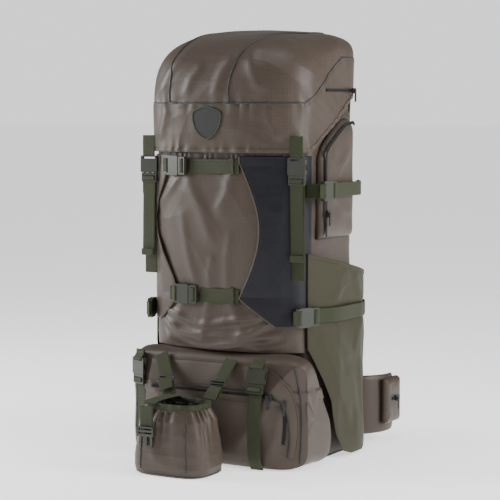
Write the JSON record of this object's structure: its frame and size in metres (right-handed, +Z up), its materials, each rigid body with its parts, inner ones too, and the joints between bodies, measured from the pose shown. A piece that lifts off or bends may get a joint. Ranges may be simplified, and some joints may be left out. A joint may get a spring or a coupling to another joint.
{
  "type": "hunting backpack",
  "caption": "Tall top-loading hunting backpack with an opening lid, side and stretch pockets, buckled straps, padded harness, hip belt and a drop pouch.",
  "frame": {"origin": "centre of the flat base panel, on the floor", "axes": "+Z up, +X to the right of someone facing the bag, +Y toward the wearer's back harness, -Y out of the front pocket"},
  "size_m": [0.3916, 0.5746, 0.7535],
  "materials": {
    "pack_cloth": "satin",
    "navy_cloth": "matte",
    "stretch_cloth": "matte",
    "webbing": "matte",
    "padding": "matte",
    "frame_plastic": "matte",
    "stay_metal": "satin",
    "patch_rubber": "matte",
    "zip_tape": "matte",
    "zip_pull": "matte",
    "buckle_plastic": "satin"
  },
  "bodies": {
    "bag": {"main_shell": "pack_cloth", "collar": "pack_cloth", "base_panel": "navy_cloth", "lower_compartment": "pack_cloth", "front_pocket": "pack_cloth", "left_wing": "pack_cloth", "right_wing": "navy_cloth", "side_pocket_left": "pack_cloth", "side_pocket_right": "pack_cloth", "stretch_pocket_left": "stretch_cloth", "stretch_pocket_right": "stretch_cloth", "zips": "zip_tape", "bag_sockets": "buckle_plastic", "side_webbing": "webbing", "front_webbing": "webbing", "frame_sheet": "frame_plastic", "stays": "stay_metal", "back_pads": "padding", "lumbar_pad": "padding", "back_webbing": "webbing"},
    "lid": {"lid_top": "pack_cloth", "lid_skirt": "pack_cloth", "lid_patch": "patch_rubber", "lid_webbing": "webbing", "lid_sockets": "buckle_plastic", "lid_zip": "zip_tape"},
    "lid_zip_slider": {"lid_zip_slider": "zip_pull"},
    "lid_plug_left": {"lid_plug_left": "buckle_plastic"},
    "lid_plug_right": {"lid_plug_right": "buckle_plastic"},
    "front_plug_upper": {"front_plug_upper": "buckle_plastic"},
    "front_plug_lower": {"front_plug_lower": "buckle_plastic"},
    "side_plug_upper_left": {"side_plug_upper_left": "buckle_plastic"},
    "side_plug_upper_right": {"side_plug_upper_right": "buckle_plastic"},
    "side_plug_lower_left": {"side_plug_lower_left": "buckle_plastic"},
    "side_plug_lower_right": {"side_plug_lower_right": "buckle_plastic"},
    "base_plug_left": {"base_plug_left": "buckle_plastic"},
    "base_plug_right": {"base_plug_right": "buckle_plastic"},
    "side_slider_left": {"side_slider_left": "zip_pull"},
    "side_slider_right": {"side_slider_right": "zip_pull"},
    "lower_slider_left": {"lower_slider_left": "zip_pull"},
    "lower_slider_right": {"lower_slider_right": "zip_pull"},
    "haul_loop": {"haul_loop": "webbing"},
    "chest_strap_left": {"chest_strap_left": "buckle_plastic"},
    "chest_strap_right": {"chest_strap_right": "buckle_plastic"},
    "belt_slider_left": {"belt_slider_left": "zip_pull"},
    "belt_slider_right": {"belt_slider_right": "zip_pull"},
    "pouch_tab": {"pouch_tab": "buckle_plastic"},
    "shoulder_strap_left": {"shoulder_pad_left": "padding", "shoulder_hardware_left": "buckle_plastic"},
    "shoulder_strap_right": {"shoulder_pad_right": "padding", "shoulder_hardware_right": "buckle_plastic"},
    "hip_belt_left": {"hip_wing_left": "pack_cloth", "belt_socket": "buckle_plastic"},
    "hip_belt_right": {"hip_wing_right": "pack_cloth", "belt_plug": "buckle_plastic"},
    "pouch": {"pouch_body": "pack_cloth", "pouch_rim": "webbing", "pouch_straps": "webbing", "pouch_triglides": "buckle_plastic"}
  },
  "joints": [
    {"name": "lid_hinge", "type": "hinge", "parent": "bag", "child": "lid", "pos_m": [0, 0.095, 0.65], "axis": [-1, 0, 0], "range_deg": [0, 100]},
    {"name": "lid_zip_slide", "type": "slide", "parent": "lid", "child": "lid_zip_slider", "axis": [0, -1, 0], "range_m": [-0.008, 0.09]},
    {"name": "lid_plug_left_release", "type": "slide", "parent": "bag", "child": "lid_plug_left", "axis": [0, 0, -1], "range_m": [0, 0.03]},
    {"name": "lid_plug_right_release", "type": "slide", "parent": "bag", "child": "lid_plug_right", "axis": [0, 0, -1], "range_m": [0, 0.03]},
    {"name": "front_plug_upper_release", "type": "slide", "parent": "bag", "child": "front_plug_upper", "axis": [0.9629, -0.27, 0], "range_m": [0, 0.03]},
    {"name": "front_plug_lower_release", "type": "slide", "parent": "bag", "child": "front_plug_lower", "axis": [0.9975, -0.071, 0], "range_m": [0, 0.03]},
    {"name": "side_plug_upper_left_release", "type": "slide", "parent": "bag", "child": "side_plug_upper_left", "axis": [0, 1, 0], "range_m": [0, 0.03]},
    {"name": "side_plug_upper_right_release", "type": "slide", "parent": "bag", "child": "side_plug_upper_right", "axis": [0, 1, 0], "range_m": [0, 0.03]},
    {"name": "side_plug_lower_left_release", "type": "slide", "parent": "bag", "child": "side_plug_lower_left", "axis": [-0.3461, 0.9382, 0], "range_m": [0, 0.03]},
    {"name": "side_plug_lower_right_release", "type": "slide", "parent": "bag", "child": "side_plug_lower_right", "axis": [0.3461, 0.9382, 0], "range_m": [0, 0.03]},
    {"name": "base_plug_left_release", "type": "slide", "parent": "bag", "child": "base_plug_left", "axis": [0, 0, -1], "range_m": [0, 0.03]},
    {"name": "base_plug_right_release", "type": "slide", "parent": "bag", "child": "base_plug_right", "axis": [0, -0.27, -0.9629], "range_m": [0, 0.03]},
    {"name": "side_zip_left_slide", "type": "slide", "parent": "bag", "child": "side_slider_left", "axis": [0, 0, 1], "range_m": [-0.028, 0.09]},
    {"name": "side_zip_right_slide", "type": "slide", "parent": "bag", "child": "side_slider_right", "axis": [0, 0, 1], "range_m": [-0.028, 0.09]},
    {"name": "lower_zip_left_slide", "type": "slide", "parent": "bag", "child": "lower_slider_left", "axis": [-1, 0, 0], "range_m": [0, 0.05]},
    {"name": "lower_zip_right_slide", "type": "slide", "parent": "bag", "child": "lower_slider_right", "axis": [0, 0, -1], "range_m": [0, 0.04]},
    {"name": "haul_loop_swing", "type": "hinge", "parent": "bag", "child": "haul_loop", "pos_m": [0, 0.0971, 0.586], "axis": [1, 0, 0], "range_deg": [0, 80]},
    {"name": "shoulder_swing_left", "type": "hinge", "parent": "bag", "child": "shoulder_strap_left", "pos_m": [-0.08, 0.103, 0.566], "axis": [1, 0, 0], "range_deg": [0, 35]},
    {"name": "shoulder_swing_right", "type": "hinge", "parent": "bag", "child": "shoulder_strap_right", "pos_m": [0.08, 0.103, 0.566], "axis": [1, 0, 0], "range_deg": [0, 35]},
    {"name": "chest_strap_slide_left", "type": "slide", "parent": "shoulder_strap_left", "child": "chest_strap_left", "axis": [0, 0, 1], "range_m": [-0.035, 0.035]},
    {"name": "chest_strap_slide_right", "type": "slide", "parent": "shoulder_strap_right", "child": "chest_strap_right", "axis": [0, 0, 1], "range_m": [-0.035, 0.035]},
    {"name": "hip_belt_left_swing", "type": "hinge", "parent": "bag", "child": "hip_belt_left", "pos_m": [-0.11, 0.112, 0.071], "axis": [0, 0, -1], "range_deg": [0, 25]},
    {"name": "hip_belt_right_swing", "type": "hinge", "parent": "bag", "child": "hip_belt_right", "pos_m": [0.11, 0.112, 0.071], "axis": [0, 0, 1], "range_deg": [0, 25]},
    {"name": "belt_zip_left_slide", "type": "slide", "parent": "hip_belt_left", "child": "belt_slider_left", "axis": [0, 1, 0], "range_m": [-0.01, 0.01]},
    {"name": "belt_zip_right_slide", "type": "slide", "parent": "hip_belt_right", "child": "belt_slider_right", "axis": [0, 1, 0], "range_m": [-0.01, 0.01]},
    {"name": "pouch_swing", "type": "hinge", "parent": "bag", "child": "pouch", "pos_m": [0, -0.154, 0.184], "axis": [-1, 0, 0], "range_deg": [0, 70]},
    {"name": "pouch_strap_swing", "type": "hinge", "parent": "pouch", "child": "pouch_tab", "pos_m": [-0.0415, -0.2968, 0.117], "axis": [-1, 0, 0], "range_deg": [0, 110]}
  ]
}
